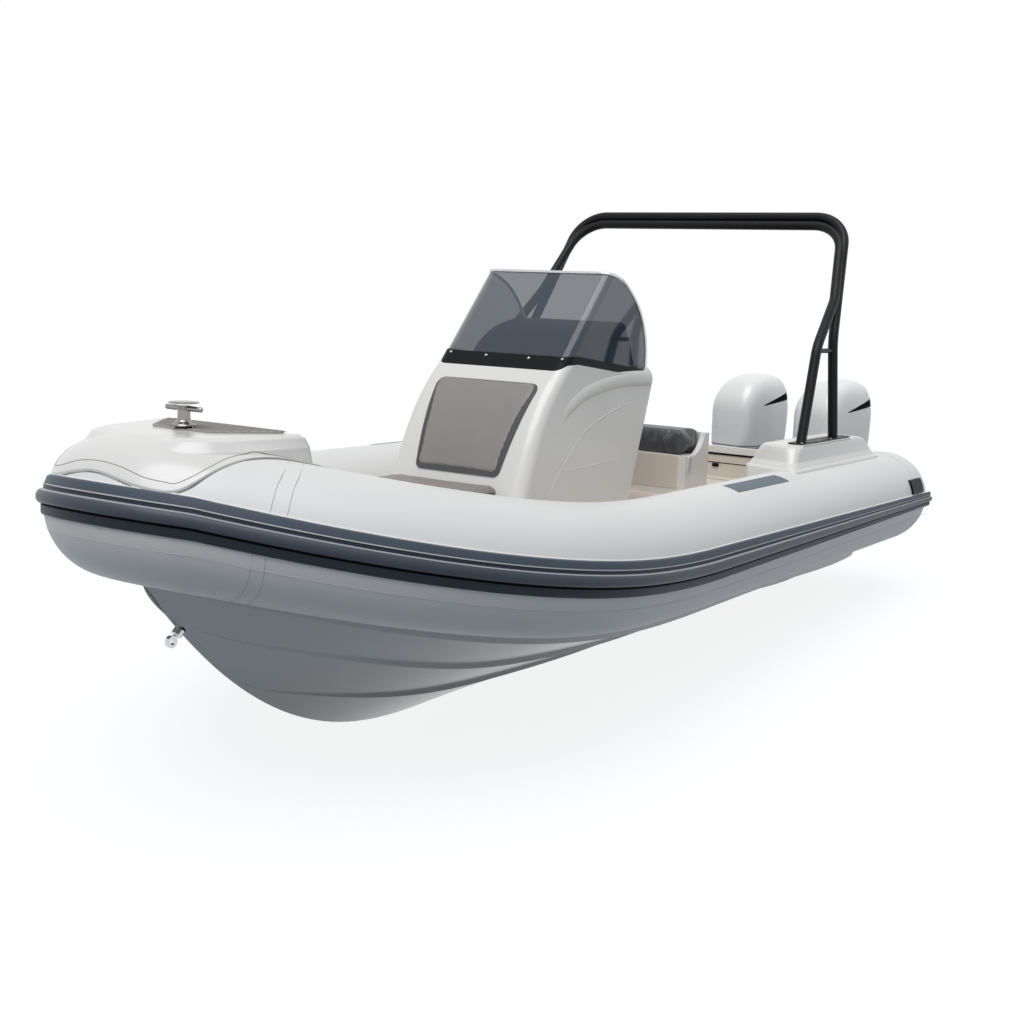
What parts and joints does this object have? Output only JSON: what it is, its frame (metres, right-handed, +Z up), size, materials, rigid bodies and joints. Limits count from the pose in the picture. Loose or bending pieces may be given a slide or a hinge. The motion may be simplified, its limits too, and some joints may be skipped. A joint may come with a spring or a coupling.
{
  "type": "rigid inflatable boat",
  "caption": "Open rigid inflatable boat with a deep-V hull, inflated collar, centre console with windscreen, helm seat, arch and a pair of outboard engines that tilt and steer.",
  "frame": {"origin": "on the centreline in the still waterplane, 3.00 m forward of the collar's stern end", "axes": "+X forward to the bow, +Y to port, +Z up, square to the still waterplane"},
  "size_m": [6.8671, 2.952, 2.974],
  "materials": {
    "collar_fabric": "satin coated fabric",
    "strake_rubber": "satin",
    "gelcoat_white": "gloss gelcoat",
    "gelcoat_grey": "gloss gelcoat",
    "deck_beige": "non-slip",
    "pad_grey": "non-slip",
    "cushion_dark": "grained vinyl",
    "cushion_grey": "grained vinyl",
    "black_trim": "satin",
    "black_tube": "powder coat",
    "polished_steel": "polished",
    "tinted_screen": "tinted",
    "engine_white": "gloss",
    "engine_metal": "gloss paint",
    "engine_block": "painted",
    "propeller_steel": "brushed"
  },
  "bodies": {
    "boat": {"hull": "gelcoat_grey", "tube_port": "collar_fabric", "tube_starboard": "collar_fabric", "tube_bow": "collar_fabric", "strake_port": "strake_rubber", "strake_starboard": "strake_rubber", "strake_bow": "strake_rubber", "deck": "deck_beige", "bow_step": "gelcoat_white", "bow_pad": "pad_grey", "bollard": "polished_steel", "bow_eye": "polished_steel", "console": "gelcoat_white", "console_seat_cushion": "cushion_dark", "console_back_pad": "cushion_grey", "dash_hood": "black_trim", "windscreen": "tinted_screen", "windscreen_rail": "polished_steel", "windscreen_band": "black_trim", "helm_unit": "black_trim", "throttle_binnacle": "black_trim", "helm_seat": "gelcoat_white", "helm_seat_cushion": "cushion_dark", "stern_moulding": "gelcoat_white", "well_seal": "black_trim", "arch": "black_tube", "arch_base_plates": "black_tube", "plinth_port": "gelcoat_white", "plinth_starboard": "gelcoat_white", "tube_step_pads": "pad_grey", "stern_grabs": "black_trim", "port_clamp_bracket": "engine_metal", "starboard_clamp_bracket": "engine_metal"},
    "steering_wheel": {"steering_wheel": "black_trim"},
    "port_tilt_body": {"port_swivel_bracket": "engine_metal"},
    "port_engine": {"port_cowl": "engine_white", "port_powerhead": "engine_block", "port_leg": "engine_metal"},
    "port_screw": {"port_propeller": "propeller_steel"},
    "starboard_tilt_body": {"starboard_swivel_bracket": "engine_metal"},
    "starboard_engine": {"starboard_cowl": "engine_white", "starboard_powerhead": "engine_block", "starboard_leg": "engine_metal"},
    "starboard_screw": {"starboard_propeller": "propeller_steel"}
  },
  "joints": [
    {"name": "port_tilt", "type": "hinge", "parent": "boat", "child": "port_tilt_body", "pos_m": [-3.005, 0.335, 0.49], "axis": [0, 1, 0], "range_deg": [0, 65]},
    {"name": "port_steer", "type": "hinge", "parent": "port_tilt_body", "child": "port_engine", "pos_m": [-3.105, 0.335, 0.44], "axis": [0, 0, 1], "range_deg": [-15, 45]},
    {"name": "port_propeller_spin", "type": "hinge", "parent": "port_engine", "child": "port_screw", "pos_m": [-3.58893, 0.46467, -0.495], "axis": [0.9659, -0.2588, 0], "continuous": true},
    {"name": "starboard_tilt", "type": "hinge", "parent": "boat", "child": "starboard_tilt_body", "pos_m": [-3.005, -0.335, 0.49], "axis": [0, 1, 0], "range_deg": [0, 65]},
    {"name": "starboard_steer", "type": "hinge", "parent": "starboard_tilt_body", "child": "starboard_engine", "pos_m": [-3.105, -0.335, 0.44], "axis": [0, 0, 1], "range_deg": [-15, 45]},
    {"name": "starboard_propeller_spin", "type": "hinge", "parent": "starboard_engine", "child": "starboard_screw", "pos_m": [-3.58893, -0.20533, -0.495], "axis": [0.9659, -0.2588, 0], "continuous": true},
    {"name": "wheel_turn", "type": "hinge", "parent": "boat", "child": "steering_wheel", "pos_m": [-0.85, -0.04, 1.32], "axis": [-0.9063, 0, 0.4226], "range_deg": [-1080, 360]}
  ],
  "couplings": [
    {"joint": "starboard_steer", "follows": "port_steer", "ratio": 1},
    {"joint": "wheel_turn", "follows": "port_steer", "ratio": -24}
  ]
}
